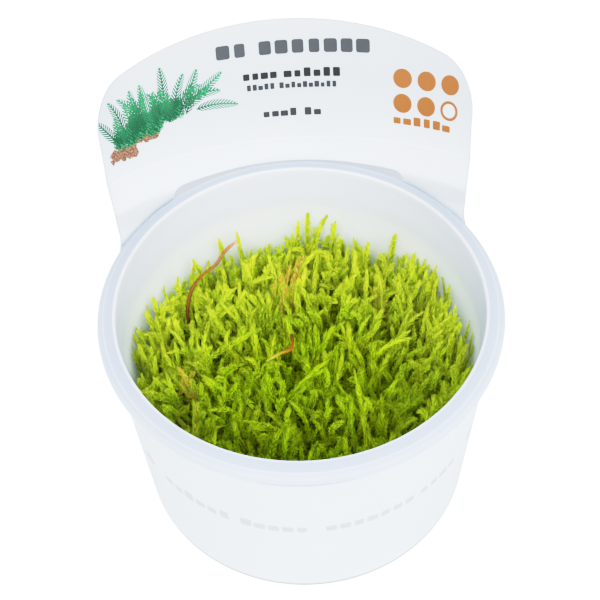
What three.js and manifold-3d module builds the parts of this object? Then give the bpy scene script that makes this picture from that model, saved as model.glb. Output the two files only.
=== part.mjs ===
// A clump of weeping moss in a round plastic cup, wrapped in a sheet label with a tall header.
// Millimetres, +Z up. The origin is on the cup's axis, on the surface that the cup stands on.
// The header is centred on +Y. Angles are taken from +Y and grow towards +X.

import * as THREE from "three";
import { mergeVertices } from "three/addons/utils/BufferGeometryUtils.js";
import Module from "manifold-3d";

const wasm = await Module();
wasm.setup();

// Cup: a tapered wall under a flange with a turned-down skirt
const cupHeight = 56.8;
const lipRadius = 39.9;
const wallThickness = 0.85;
const wallTopRadius = 41.1; // outside, just under the flange
const wallTopHeight = 55.2;
const baseRadius = 38.2; // outside, above the rounded bottom edge
const baseRounding = 1.6;
const floorThickness = 1.2;
const footWidth = 3.2;
const centreDiscRadius = 9;
const undersideRecess = 0.45;
const flangeRadius = 44;
const flangeShoulderRadius = 42.6;
const flangeShoulderHeight = 56.25;
const flangeEdgeHeight = 55.3;
const skirtBottom = 53.9;
const skirtThickness = 0.8;
const rimStep = 0.6; // how far the wall's outside widens under the flange
const edgeRounding = 0.35;
const lipWidth = 0.75;
const lipRounding = 0.5;
const lipRoot = 1.2; // height over which the wall bends out to the lip
const cupSides = 40;

// Label: one sheet, wrapped round the cup and standing up behind it
const sheetThickness = 0.4;
const sleeveBottom = 0.5;
const sleeveTop = 53.4;
const sleeveBottomRadius = 38.9; // inside
const sleeveTopRadius = 41.55; // inside
const neckFlareStart = 47.5;
const neckSpread = 6; // degrees by which the flare is wider than the neck, on each side
const neckFade = 10; // degrees over which it dies out
const slotHalfAngle = 37.5;
const slotEndAngle = 4;
const headerBase = 56.35; // height from which the header leans out
const headerBottomRadius = 44.35; // inside, where the sheet passes the flange
const headerLean = 20; // degrees outwards
const headerHalfWidth = 46.2; // from here on these are sizes on the flat sheet
const headerRise = 34; // from the header's base to the middle of its top edge
const headerCrown = 114; // radius of the top edge
const headerCornerRadius = 8;
const creaseRise = 4.9;
const creaseBend = 0.35;
const creaseReach = 7;
const slotEdgeRise = -0.85; // from the header's base to the middle of the slot's top edge
const slotEdgeDip = 1.2; // by which that edge is lower at its ends
const labelSides = 54;
const cutMargin = 3; // how far a cut runs past the sheet
const cutOverlap = 0.6; // degrees by which neighbouring cuts overlap
const sleeveRows = [sleeveBottom, 24, neckFlareStart, 50.2, sleeveTop];
const headerRows = [-0.9, 0, 4, 8, 12, 20]; // heights above the header's base
const roundSteps = 32; // of the cut behind which the header ends
const slotSteps = 20;
const edgeSteps = 14; // of each cut along the header's edge

// Moss: a dense cushion that carries upright shoots
const cushionBottom = floorThickness + 0.35;
const cushionFootRadius = 36.2;
const cushionEdgeRadius = 38;
const cushionEdgeHeight = 27;
const cushionTop = 32.5;
const cushionLump = 1.1;
const cushionWaves = [0.31, 0.27, 0.52]; // across, front to back and aslant
const cushionRings = [1.4, 6, 14, 25]; // inwards from the edge
const cushionSides = 29;
const shootCount = 118;
const shootFieldRadius = 35.4;
const shootScatter = 1.2;
const shootLength = 12.6;
const shootRadius = 2.25;
const shootFoot = 1.65; // shares of the radius, at the foot and at the shoulder
const shootShoulder = 0.85;
const shootShoulderHeight = 0.62; // share of the length
const shootUnevenness = 0.18; // of lengths and thicknesses
const shootSides = 4;
const shootRoot = 3.2; // how deep a shoot is set into the cushion
const shootFan = 0.16; // outward lean at the edge of the field
const shootLean = 0.42;
const shootBend = 0.3;
const tipReach = 37.4; // no tip stands further from the axis
const goldenAngle = 137.508;
const shootSeed = 7;

// Dead stems that stand among the shoots
const clearance = 0.35;
const deadStemRadius = 0.42;
const deadStemRoute = [
  [-26.4, 16.8, 25],
  [-26.4, 17.0, 32],
  [-25.9, 18.6, 36],
  [-24.4, 21.8, 38.1],
  [-21.9, 24.3, 39.4],
  [-19.0, 25.8, 40.5],
  [-16.4, 28.6, 42.1],
  [-13.3, 30.6, 43.4],
];
const redStemRadius = 0.45;
const redStemRoute = [
  [-2.0, 8.6, 30],
  [-2.1, 6.4, 36.5],
  [-2.1, 3.2, 39.4],
  [-2.2, 0.2, 41],
  [-2.8, -1.6, 41.5],
  [-4.3, -2.1, 41.4],
  [-5.8, -2.5, 41],
  [-8.2, -3.3, 40.2],
];
const stemSteps = 13; // along a stem

// Finishes
const milkyPlastic = { color: 0xe4ebf3, roughness: 0.32, metalness: 0 };
const satinSheet = { color: 0xf1f4f7, roughness: 0.5, metalness: 0 };
const leafGreen = { color: 0x8fb92c, roughness: 0.6, metalness: 0 };
const deadBrown = { color: 0x7b4a22, roughness: 0.8, metalness: 0 };
const dullRed = { color: 0x9c4a24, roughness: 0.75, metalness: 0 };

const degrees = Math.PI / 180;

// Numbers from 0 to 1 that are the same on every run
function seededRandom(seed) {
  let state = seed;
  return () => {
    state = (state * 1664525 + 1013904223) % 4294967296;
    return state / 4294967296;
  };
}

// A closed solid from a geometry whose shared corners are merged
function solidFrom(geometry) {
  const bare = geometry.clone();
  bare.deleteAttribute("normal");
  bare.deleteAttribute("uv");
  const merged = mergeVertices(bare, 1e-4);
  const corners = merged.index.array;
  const triangles = [];
  for (let i = 0; i < corners.length; i += 3) {
    const [a, b, c] = corners.slice(i, i + 3);
    if (a !== b && b !== c && c !== a) triangles.push(a, b, c);
  }
  return new wasm.Manifold(new wasm.Mesh({
    numProp: 3,
    vertProperties: new Float32Array(merged.attributes.position.array),
    triVerts: new Uint32Array(triangles),
  }));
}

// The geometry of a solid
function geometryFrom(solid) {
  const mesh = solid.getMesh();
  const geometry = new THREE.BufferGeometry();
  geometry.setAttribute("position", new THREE.BufferAttribute(mesh.vertProperties, 3));
  geometry.setIndex(new THREE.BufferAttribute(mesh.triVerts, 1));
  geometry.computeVertexNormals();
  return geometry;
}

// A solid of revolution about Z. The profile lists [radius, height] and runs up the outside.
function turned(profile, sides) {
  const points = profile.map(([radius, height]) => new THREE.Vector2(radius, height));
  return new THREE.LatheGeometry(points, sides).rotateX(90 * degrees);
}

// Moves every corner of a geometry to where the rule sends it
function reshape(geometry, rule) {
  const place = geometry.attributes.position;
  const corner = new THREE.Vector3();
  for (let i = 0; i < place.count; i++) {
    corner.fromBufferAttribute(place, i);
    rule(corner);
    place.setXYZ(i, corner.x, corner.y, corner.z);
  }
  return geometry;
}

// A block bent round the axis, from one angle to another. Its heights may change with the angle.
function bentBlock({ from, to, low, high, inner, outer, steps }) {
  const block = new THREE.BoxGeometry(1, 1, 1, steps, 1, 1).translate(0.5, 0.5, 0.5);
  return reshape(block, (corner) => {
    const angle = from + corner.x * (to - from);
    const radius = inner + corner.y * (outer - inner);
    const height = low(angle) + corner.z * (high(angle) - low(angle));
    corner.set(radius * Math.sin(angle * degrees), radius * Math.cos(angle * degrees), height);
  });
}

function smooth(value) {
  const t = Math.min(Math.max(value, 0), 1);
  return t * t * (3 - 2 * t);
}

function cupWallRadius(height) {
  const share = height / wallTopHeight;
  return baseRadius + share * (wallTopRadius - baseRadius);
}

// The cup is one moulding: floor, wall, flange and skirt
function makeCup() {
  const inside = (height) => cupWallRadius(height) - wallThickness;
  const skirtInside = flangeRadius - skirtThickness;
  const footInside = baseRadius - baseRounding - footWidth;
  const profile = [
    [0, 0],
    [centreDiscRadius, 0],
    [centreDiscRadius + undersideRecess, undersideRecess],
    [footInside, undersideRecess],
    [footInside + undersideRecess, 0],
    [baseRadius - baseRounding, 0],
    [baseRadius - 0.3 * baseRounding, 0.3 * baseRounding],
    [cupWallRadius(baseRounding), baseRounding],
    [wallTopRadius, wallTopHeight - rimStep],
    [wallTopRadius + rimStep, wallTopHeight],
    [skirtInside - edgeRounding, flangeEdgeHeight - edgeRounding],
    [skirtInside, skirtBottom],
    [flangeRadius, skirtBottom],
    [flangeRadius, flangeEdgeHeight - edgeRounding],
    [flangeRadius - edgeRounding, flangeEdgeHeight + edgeRounding],
    [flangeShoulderRadius, flangeShoulderHeight],
    [lipRadius + lipWidth, cupHeight],
    [lipRadius + 0.4 * lipRounding, cupHeight - 0.1 * lipRounding],
    [lipRadius, cupHeight - lipRounding],
    [inside(wallTopHeight - lipRoot), wallTopHeight - lipRoot],
    [inside(floorThickness + baseRounding), floorThickness + baseRounding],
    [inside(floorThickness) - 0.7 * baseRounding, floorThickness + 0.3 * baseRounding],
    [inside(floorThickness) - 1.6 * baseRounding, floorThickness],
    [0, floorThickness],
  ];
  return turned(profile, cupSides);
}

// How far the sheet has come out from the sleeve to the flange's outside: 0 to 1
function neckShare(angle, height) {
  const apart = Math.abs(angle);
  const inSlot = smooth((apart - slotHalfAngle + neckSpread + neckFade) / neckFade);
  const pastHeader = 1 - smooth((apart - neckEdge - neckSpread) / neckFade);
  const round = height > sleeveTop + 0.1 ? 1 : inSlot * pastHeader;
  return round * smooth((height - neckFlareStart) / (sleeveTop - neckFlareStart));
}

// The header is part of a cone. On the flat sheet the cone's tip is a point, and the level line
// through the middle of the header's base passes it at this distance.
const lean = headerLean * degrees;
const tipDistance = headerBottomRadius / Math.sin(lean);
const neckDrop = (headerBase - sleeveTop) / Math.cos(lean);
const neckEdge = Math.asin(headerHalfWidth / (tipDistance - neckDrop)) / Math.sin(lean) / degrees;
const cornerAngle = Math.atan((headerHalfWidth - headerCornerRadius) / (tipDistance + headerRise))
  / Math.sin(lean) / degrees;

// The height at which the line up the header at an angle meets a level line of the flat sheet
function levelAt(angle, rise) {
  const along = (tipDistance + rise) / Math.cos(angle * degrees * Math.sin(lean));
  return headerBase + (along - tipDistance) * Math.cos(lean);
}

function creaseAt(angle) {
  return levelAt(angle, creaseRise);
}

// The sheet's inside radius at an angle and a height
function sheetRadius(angle, height) {
  const sleeveSlope = (sleeveTopRadius - sleeveBottomRadius) / (sleeveTop - sleeveBottom);
  const sleeve = sleeveBottomRadius + (Math.min(height, sleeveTop) - sleeveBottom) * sleeveSlope;
  const header = headerBottomRadius + Math.max(height - headerBase, 0) * Math.tan(lean);
  const bend = creaseBend * Math.max(1 - Math.abs(height - creaseAt(angle)) / creaseReach, 0);
  const share = neckShare(angle, height);
  return sleeve + share * (header - sleeve) + (height > headerBase ? bend : 0);
}

// How far a point of the flat sheet is outside the header's outline: two upright sides, a crowned
// top edge and round corners
function outsideHeader(across, rise) {
  const pastSide = Math.abs(across) - (headerHalfWidth - headerCornerRadius);
  const crownCentre = headerRise - headerCrown;
  const pastTop = Math.hypot(across, rise - crownCentre) - (headerCrown - headerCornerRadius);
  return Math.hypot(Math.max(pastSide, 0), Math.max(pastTop, 0)) - headerCornerRadius;
}

// The height at which the line up the header at an angle leaves the header's outline
function headerTopAt(angle) {
  const turn = angle * degrees * Math.sin(lean);
  let [inside, outside] = [0, tipDistance + 2 * headerRise];
  for (let halving = 0; halving < 40; halving++) {
    const along = (inside + outside) / 2;
    const past = outsideHeader(along * Math.sin(turn), along * Math.cos(turn) - tipDistance) > 0;
    if (past) outside = along;
    else inside = along;
  }
  return Math.max(headerBase + (inside - tipDistance) * Math.cos(lean), sleeveTop);
}

// The slot's top edge is nearly level on the flat sheet, and each end of the slot is round
function slotTopAt(angle) {
  const closing = Math.max(Math.abs(angle) - (slotHalfAngle - slotEndAngle), 0) / slotEndAngle;
  const height = levelAt(angle, slotEdgeRise - slotEdgeDip * (angle / slotHalfAngle) ** 2);
  const middle = (height + sleeveTop) / 2;
  return middle + (height - middle) * Math.sqrt(Math.max(1 - closing ** 4, 0.02));
}

// The label is one sheet: a closed sleeve, two necks past the flange and the header
function makeLabel() {
  const headerTop = headerTopAt(0);
  const near = sleeveBottomRadius - cutMargin;
  const far = sheetRadius(0, headerTop) + cutMargin;
  const rows = [...sleeveRows, ...headerRows.map((rise) => headerBase + rise), headerTop];
  const outside = rows.map((height) => [far, height]);
  const inside = rows.map((height) => [near, height]).reverse();
  const sheet = turned([...outside, ...inside, outside[0]], labelSides);
  reshape(sheet, (corner) => {
    const across = Math.hypot(corner.x, corner.y);
    const angle = Math.atan2(corner.x, corner.y) / degrees;
    const radius = sheetRadius(angle, corner.z) + (across > (near + far) / 2 ? sheetThickness : 0);
    corner.x *= radius / across;
    corner.y *= radius / across;
  });
  const above = headerTop + cutMargin;
  const cut = (from, to, steps, low, high) => bentBlock({
    from: from - cutOverlap, to: to + cutOverlap, steps, low, high, inner: near, outer: far,
  });
  const cutters = [
    cut(neckEdge + cutOverlap, 360 - neckEdge - cutOverlap, roundSteps, () => sleeveTop, () => above),
    cut(-slotHalfAngle + cutOverlap, slotHalfAngle - cutOverlap, slotSteps, () => sleeveTop, slotTopAt),
    cut(-cornerAngle, cornerAngle, edgeSteps, headerTopAt, () => above),
    cut(-neckEdge, -cornerAngle, edgeSteps, headerTopAt, () => above),
    cut(cornerAngle, neckEdge, edgeSteps, headerTopAt, () => above),
  ];
  let solid = solidFrom(sheet);
  for (const cutter of cutters) solid = solid.subtract(solidFrom(cutter));
  return geometryFrom(solid);
}

// The height of the cushion's top at a place, with soft lumps
function cushionHeight(x, y) {
  const share = Math.min(Math.hypot(x, y) / cushionEdgeRadius, 1);
  const dome = cushionEdgeHeight + (cushionTop - cushionEdgeHeight) * Math.sqrt(1 - share ** 3);
  const [across, deep, aslant] = cushionWaves;
  const lumps = Math.sin(x * across + 1.2) * Math.cos(y * deep - 0.4) + 0.6 * Math.sin((x - y) * aslant);
  return dome + cushionLump * lumps * (1 - share ** 4);
}

function makeCushion() {
  const profile = [
    [0, cushionBottom],
    [cushionFootRadius, cushionBottom],
    [cushionEdgeRadius, cushionEdgeHeight],
    ...cushionRings.map((inwards) => [cushionEdgeRadius - inwards, cushionTop]),
    [0, cushionTop],
  ];
  const cushion = turned(profile, cushionSides);
  return reshape(cushion, (corner) => {
    if (corner.z > cushionEdgeHeight + 1) corner.z = cushionHeight(corner.x, corner.y);
  });
}

// One shoot: a plump blade with a pointed tip, leaning and bending as it grows
function makeShoot(random, index) {
  const share = (index + 0.5) / shootCount;
  const away = shootFieldRadius * Math.sqrt(share);
  const around = index * goldenAngle * degrees;
  const x = away * Math.cos(around) + shootScatter * (random() - 0.5);
  const y = away * Math.sin(around) + shootScatter * (random() - 0.5);
  const length = shootLength * (1 + 2 * shootUnevenness * (random() - 0.5));
  const thick = shootRadius * (1 + 2 * shootUnevenness * (random() - 0.5));
  let leanX = shootFan * (x / shootFieldRadius) + shootLean * (random() - 0.5);
  let leanY = shootFan * (y / shootFieldRadius) + shootLean * (random() - 0.5);
  const bend = 2 * shootBend * (random() - 0.5);
  const reach = Math.hypot(x + leanX * length, y + leanY * length);
  if (reach > tipReach) {
    leanX -= (x / Math.hypot(x, y)) * (reach - tipReach) / length;
    leanY -= (y / Math.hypot(x, y)) * (reach - tipReach) / length;
  }
  const shoulder = [shootShoulder * thick, shootShoulderHeight * length];
  const profile = [[0, 0], [shootFoot * thick, 0], shoulder, [0, length]];
  const root = cushionHeight(x, y) - shootRoot;
  const blade = turned(profile, shootSides).rotateZ(random() * Math.PI);
  return reshape(blade, (corner) => {
    const up = corner.z / length;
    const sideways = bend * length * up * (1 - up);
    corner.x += x + leanX * corner.z + sideways * leanY;
    corner.y += y + leanY * corner.z - sideways * leanX;
    corner.z += root;
  });
}

// A thin stem along a route
function makeStem(route, radius) {
  const path = new THREE.CatmullRomCurve3(route.map(([x, y, z]) => new THREE.Vector3(x, y, z)));
  const section = new THREE.Shape().absellipse(0, 0, radius, radius, 0, Math.PI * 2);
  return new THREE.ExtrudeGeometry(section, { steps: stemSteps, curveSegments: 3, extrudePath: path });
}

// The space inside the cup's wall that the moss may fill
function makeRoom() {
  const inside = (height) => cupWallRadius(height) - wallThickness - clearance;
  const top = wallTopHeight - 2;
  const low = cushionBottom;
  const aboveRounding = low + baseRounding;
  const profile = [
    [0, low],
    [inside(low) - baseRounding, low],
    [inside(aboveRounding), aboveRounding],
    [inside(top), top],
    [0, top],
  ];
  return turned(profile, cupSides);
}

// The moss is one grown mass, with room left round the two stems
function makeMoss() {
  const random = seededRandom(shootSeed);
  let solid = solidFrom(makeCushion());
  for (let index = 0; index < shootCount; index++) solid = solid.add(solidFrom(makeShoot(random, index)));
  for (const [route, radius] of [[deadStemRoute, deadStemRadius], [redStemRoute, redStemRadius]]) {
    solid = solid.subtract(solidFrom(makeStem(route, radius + clearance)));
  }
  solid = solid.intersect(solidFrom(makeRoom()));
  const pieces = solid.decompose().sort((a, b) => b.volume() - a.volume());
  return geometryFrom(pieces[0]);
}

function piece(name, geometry, finish) {
  const mesh = new THREE.Mesh(geometry, new THREE.MeshStandardMaterial(finish));
  mesh.name = name;
  return mesh;
}

const part = new THREE.Group();
part.add(piece("cup", makeCup(), milkyPlastic));
part.add(piece("label", makeLabel(), satinSheet));
part.add(piece("moss", makeMoss(), leafGreen));
part.add(piece("dead_stem", makeStem(deadStemRoute, deadStemRadius), deadBrown));
part.add(piece("red_stem", makeStem(redStemRoute, redStemRadius), dullRed));

export default part;
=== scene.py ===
import math

import bmesh
import bpy
import numpy as np
from mathutils import Matrix, Vector, noise


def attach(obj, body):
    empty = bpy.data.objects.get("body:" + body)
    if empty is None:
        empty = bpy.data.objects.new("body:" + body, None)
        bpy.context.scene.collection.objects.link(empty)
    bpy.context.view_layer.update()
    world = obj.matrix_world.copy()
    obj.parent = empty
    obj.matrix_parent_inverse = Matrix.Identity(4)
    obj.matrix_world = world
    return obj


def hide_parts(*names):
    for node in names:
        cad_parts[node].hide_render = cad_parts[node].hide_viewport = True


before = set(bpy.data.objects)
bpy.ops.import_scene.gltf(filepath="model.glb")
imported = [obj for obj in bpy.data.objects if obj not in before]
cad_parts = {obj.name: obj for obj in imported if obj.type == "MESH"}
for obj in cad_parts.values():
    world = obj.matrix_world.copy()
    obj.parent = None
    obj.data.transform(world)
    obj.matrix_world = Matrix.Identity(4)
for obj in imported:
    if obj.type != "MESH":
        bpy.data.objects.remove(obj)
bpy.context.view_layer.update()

# A clump of weeping moss in a milky plastic cup with a sheet label.
# Sizes are in millimetres and angles in degrees; mm turns them into the scene's metres.
# Angles round the cup are taken from +Y and grow towards +X.
mm = 0.001


# small helpers

def shadeSmooth(bm, sharpAngle):
    for face in bm.faces:
        face.smooth = True
    for edge in bm.edges:
        edge.smooth = edge.calc_face_angle(0.0) < math.radians(sharpAngle)


def newObject(name, data):
    made = bpy.data.objects.new(name, data)
    bpy.context.scene.collection.objects.link(made)
    return made


def meshFrom(bm, name):
    mesh = bpy.data.meshes.new(name)
    bm.to_mesh(mesh)
    bm.free()
    return mesh


def dressPiece(mesh, material, slotName, *nodes):
    piece = newObject(mesh.name, mesh)
    mesh.materials.append(material)
    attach(piece, "root")
    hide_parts(*nodes)


def easeBetween(value):
    share = min(max(value, 0.0), 1.0)
    return share * share * (3 - 2 * share)


# shader helpers

def feed(tree, socket, value):
    # a socket takes a link from another socket, or a plain number, place or colour
    if isinstance(value, bpy.types.NodeSocket):
        tree.links.new(value, socket)
    elif socket.type == "RGBA":
        socket.default_value = (*value, 1)
    else:
        socket.default_value = value


def feedAll(tree, sockets, values):
    for label, value in values.items():
        feed(tree, sockets[label], value)


def calc(tree, operation, *values, clamp=False):
    node = tree.nodes.new("ShaderNodeMath")
    node.operation = operation
    node.use_clamp = clamp
    for socket, value in zip(node.inputs, values):
        feed(tree, socket, value)
    return node.outputs[0]


def hypotenuse(tree, x, y):
    squares = calc(tree, "MULTIPLY_ADD", x, x, calc(tree, "MULTIPLY", y, y))
    return calc(tree, "SQRT", squares)


def vectorCalc(tree, operation, *values, scale=None):
    node = tree.nodes.new("ShaderNodeVectorMath")
    node.operation = operation
    for socket, value in zip(node.inputs, values):
        feed(tree, socket, value)
    if operation == "SCALE":
        feed(tree, node.inputs["Scale"], scale)
    return node.outputs["Value" if operation == "DISTANCE" else "Vector"]


def splitPlace(tree, place):
    node = tree.nodes.new("ShaderNodeSeparateXYZ")
    feed(tree, node.inputs[0], place)
    return node.outputs


def readAttribute(tree, name):
    node = tree.nodes.new("ShaderNodeAttribute")
    node.attribute_name = name
    return node.outputs


def remap(tree, value, fromLow, fromHigh, toLow=0.0, toHigh=1.0, smooth=True):
    node = tree.nodes.new("ShaderNodeMapRange")
    node.interpolation_type = "SMOOTHSTEP" if smooth else "LINEAR"
    node.clamp = not smooth  # a smooth step keeps between its ends by itself
    feedAll(tree, node.inputs, {"Value": value, "From Min": fromLow, "From Max": fromHigh,
                                "To Min": toLow, "To Max": toHigh})
    return node.outputs["Result"]


def mixColour(tree, share, under, over, blend="MIX"):
    node = tree.nodes.new("ShaderNodeMix")
    node.data_type = "RGBA"
    node.blend_type = blend
    for index, value in ((0, share), (6, under), (7, over)):  # the factor and the two colours
        feed(tree, node.inputs[index], value)
    return node.outputs[2]


def multiplyColour(tree, tone, factor, share=1.0):
    return mixColour(tree, share, tone, factor, "MULTIPLY")


def noiseValue(tree, place, scale, detail=2.0, roughness=0.5, output="Fac"):
    node = tree.nodes.new("ShaderNodeTexNoise")
    feedAll(tree, node.inputs, {"Vector": place, "Scale": scale, "Detail": detail, "Roughness": roughness})
    return node.outputs[output]


def colourSteps(tree, value, steps):
    node = tree.nodes.new("ShaderNodeValToRGB")
    ramp = node.color_ramp
    for spare in range(len(steps) - 2):
        ramp.elements.new(0.5)
    for element, (position, colour) in zip(ramp.elements, steps):
        element.position = position
        element.color = (*colour, 1)
    feed(tree, node.inputs["Fac"], value)
    return node.outputs["Color"]


def bumpNormal(tree, height, strength, distance):
    node = tree.nodes.new("ShaderNodeBump")
    feedAll(tree, node.inputs, {"Strength": strength, "Distance": distance, "Height": height})
    return node.outputs["Normal"]


def newMaterial(name):
    material = bpy.data.materials.new(name)
    material.use_nodes = True
    tree = material.node_tree
    return material, tree, tree.nodes["Principled BSDF"].inputs


def letThrough(tree, tone, share):
    # a share of the surface passes light on, as a thin leaf or milky plastic does
    through = tree.nodes.new("ShaderNodeBsdfTranslucent")
    feed(tree, through.inputs["Color"], tone)
    both = tree.nodes.new("ShaderNodeMixShader")
    both.inputs[0].default_value = share
    tree.links.new(tree.nodes["Principled BSDF"].outputs[0], both.inputs[1])
    tree.links.new(through.outputs[0], both.inputs[2])
    tree.links.new(both.outputs[0], tree.nodes["Material Output"].inputs["Surface"])


def newGroup(name, inputs, outputs):
    # a group takes a place and numbers, and gives numbers
    group = bpy.data.node_groups.new(name, "ShaderNodeTree")
    group.interface.new_socket(name="Place", in_out="INPUT", socket_type="NodeSocketVector")
    for labels, side in ((inputs, "INPUT"), (outputs, "OUTPUT")):
        for label in labels:
            group.interface.new_socket(name=label, in_out=side, socket_type="NodeSocketFloat")
    return group, group.nodes.new("NodeGroupInput").outputs, group.nodes.new("NodeGroupOutput").inputs


def placeGroup(tree, group, **values):
    node = tree.nodes.new("ShaderNodeGroup")
    node.node_tree = group
    feedAll(tree, node.inputs, values)
    return node.outputs


def objectPlace(tree):
    return tree.nodes.new("ShaderNodeTexCoord").outputs["Object"]


# effects that several materials share

def makeMouldedSkin():
    # soft unevenness of a moulded or rolled plastic surface: a tone and a height, both round 0.5
    group, given, result = newGroup("mouldedSkin", ["CloudScale", "GrainScale"], ["Tone", "Height"])
    cloud = noiseValue(group, given["Place"], given["CloudScale"], 3.0)
    grain = noiseValue(group, given["Place"], given["GrainScale"], 1.0)
    feed(group, result["Tone"], cloud)
    feed(group, result["Height"], calc(group, "MULTIPLY_ADD", grain, 0.3, cloud))
    return group


mouldedSkin = makeMouldedSkin()


def clouded(tree, tone, skin, cloudTone):
    cloud = mixColour(tree, remap(tree, skin["Tone"], 0.35, 0.65), (1, 1, 1), cloudTone)
    return multiplyColour(tree, tone, cloud)


def roundedMask(group, sizes, corner, edge):
    # a rectangle with round corners, from the distances to its middle and its half sizes
    past = []
    for away, half in sizes:
        beyond = calc(group, "SUBTRACT", away, calc(group, "SUBTRACT", half, corner))
        past.append(calc(group, "MAXIMUM", beyond, 0.0))
    distance = calc(group, "SUBTRACT", hypotenuse(group, *past), corner)
    return remap(group, distance, edge, -edge)


def makeBarMark():
    # a printed bar with round corners
    group, given, result = newGroup("barMark", ["X", "Y", "Width", "Height", "Corner"], ["Mask"])
    sizes = []
    for output, middle, side in zip(splitPlace(group, given["Place"]), "XY", ("Width", "Height")):
        away = calc(group, "ABSOLUTE", calc(group, "SUBTRACT", output, given[middle]))
        sizes.append((away, calc(group, "MULTIPLY", given[side], 0.5)))
    feed(group, result["Mask"], roundedMask(group, sizes, given["Corner"], 0.08))
    return group


barMark = makeBarMark()


def makeBlockWord():
    # a printed word of plain rounded blocks, of uneven widths and two heights, from X to the right
    group, given, result = newGroup(
        "blockWord", ["X", "Y", "Blocks", "Pitch", "Height", "Corner", "Seed"], ["Mask"])
    place = splitPlace(group, given["Place"])
    along = calc(group, "DIVIDE", calc(group, "SUBTRACT", place[0], given["X"]), given["Pitch"])
    chance = []
    for extra in (0.0, 31.7):
        node = group.nodes.new("ShaderNodeTexWhiteNoise")
        node.noise_dimensions = "1D"
        spot = calc(group, "ADD", calc(group, "FLOOR", along), given["Seed"])
        feed(group, node.inputs["W"], calc(group, "ADD", spot, extra))
        chance.append(node.outputs["Value"])
    fromMiddle = calc(group, "ABSOLUTE", calc(group, "SUBTRACT", calc(group, "FRACT", along), 0.5))
    across = calc(group, "MULTIPLY", fromMiddle, given["Pitch"])
    halfWidth = calc(group, "MULTIPLY", calc(group, "MULTIPLY_ADD", chance[0], 0.12, 0.32), given["Pitch"])
    tall = calc(group, "MULTIPLY_ADD", calc(group, "GREATER_THAN", chance[1], 0.58), 0.27, 0.73)
    halfHeight = calc(group, "MULTIPLY", calc(group, "MULTIPLY", tall, given["Height"]), 0.5)
    fromFoot = calc(group, "SUBTRACT", place[1], given["Y"])
    up = calc(group, "ABSOLUTE", calc(group, "SUBTRACT", fromFoot, halfHeight))
    first = calc(group, "GREATER_THAN", along, 0.0)
    last = calc(group, "LESS_THAN", along, given["Blocks"])
    block = roundedMask(group, ((across, halfWidth), (up, halfHeight)), given["Corner"], 0.07)
    feed(group, result["Mask"], calc(group, "MULTIPLY", calc(group, "MULTIPLY", block, first), last))
    return group


blockWord = makeBlockWord()


def makeSprig():
    # a printed feathery sprig: a rib with slanting barbs, and a share that runs up it
    group, given, result = newGroup("sprig", ["X", "Y", "Turn", "Length", "Width", "Bend"], ["Mask", "Along"])
    place = splitPlace(group, given["Place"])
    dx = calc(group, "SUBTRACT", place[0], given["X"])
    dy = calc(group, "SUBTRACT", place[1], given["Y"])
    turnCos = calc(group, "COSINE", given["Turn"])
    turnSin = calc(group, "SINE", given["Turn"])
    upward = calc(group, "MULTIPLY_ADD", dx, turnCos, calc(group, "MULTIPLY", dy, turnSin))
    sideways = calc(group, "SUBTRACT", calc(group, "MULTIPLY", dy, turnCos), calc(group, "MULTIPLY", dx, turnSin))
    share = calc(group, "DIVIDE", upward, given["Length"])
    arc = calc(group, "MULTIPLY", calc(group, "MULTIPLY", share, share), given["Bend"])
    away = calc(group, "ABSOLUTE", calc(group, "SUBTRACT", sideways, arc))
    spare = calc(group, "MULTIPLY", calc(group, "SUBTRACT", 1.0, share), share)
    swell = calc(group, "SQRT", calc(group, "MAXIMUM", spare, 0.0))
    slant = calc(group, "PINGPONG", calc(group, "MULTIPLY_ADD", away, -1.2, upward), 0.38)
    pastTips = calc(group, "SUBTRACT", away, calc(group, "MULTIPLY", swell, given["Width"]))
    barbs = calc(group, "MULTIPLY", remap(group, slant, 0.12, 0.2), remap(group, pastTips, 0.1, -0.1))
    outline = calc(group, "MAXIMUM", barbs, remap(group, away, 0.2, 0.1))
    within = calc(group, "LESS_THAN", calc(group, "ABSOLUTE", calc(group, "SUBTRACT", share, 0.5)), 0.5)
    feed(group, result["Mask"], calc(group, "MULTIPLY", outline, within))
    feed(group, result["Along"], share)
    return group


sprig = makeSprig()


# cup

cup = {
    "height": 56.8, "lipRadius": 39.9, "wall": 0.85, "wallTopRadius": 41.1, "wallTop": 55.2,
    "baseRadius": 38.2, "baseRounding": 1.6, "floor": 1.2, "footWidth": 3.2, "discRadius": 9, "recess": 0.45,
    "flangeRadius": 44, "shoulderRadius": 42.6, "shoulder": 56.25, "flangeEdge": 55.3,
    "skirtBottom": 53.9, "skirt": 0.8, "steps": 168,
    "cloudTone": (0.97, 0.98, 0.99),
    # tones by distance from the axis: wall, lip painted white as a painted highlight, bluish flange painted darker
    # than the wall as painted shade, a painted light line at its step and painted shade on its rolled edge
    "tones": [(38.0, (0.88, 0.90, 0.90)), (39.7, (0.88, 0.90, 0.90)), (39.95, (0.97, 0.98, 1.0)),
              (40.35, (0.93, 0.95, 1.0)), (40.7, (0.53, 0.60, 0.77)), (42.3, (0.55, 0.62, 0.78)),
              (42.6, (0.72, 0.78, 0.90)), (42.9, (0.57, 0.63, 0.77)), (43.7, (0.60, 0.67, 0.79)),
              (44.1, (0.43, 0.51, 0.62))],
    # painted light and a painted green reflection of the moss on the inside next to the moss, each tone between two
    # heights
    "paintedWallLight": [((54, 40), (0.97, 1.0, 0.93)), ((35, 27), (0.80, 0.92, 0.50))],
    # specks on the inside, thickest at one place on the right
    "speckPlace": (34.5, 18.9, 36.2), "speckReach": (1.0, 4.5), "speckScale": 1400.0, "speckSize": 0.34,
    "speckRarity": 0.6, "speckTone": (0.06, 0.16, 0.16), "speckShare": 0.6,
}


def cupOutside(height):
    share = height / cup["wallTop"]
    return cup["baseRadius"] + share * (cup["wallTopRadius"] - cup["baseRadius"])


def cupInside(height):
    return cupOutside(height) - cup["wall"]


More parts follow.
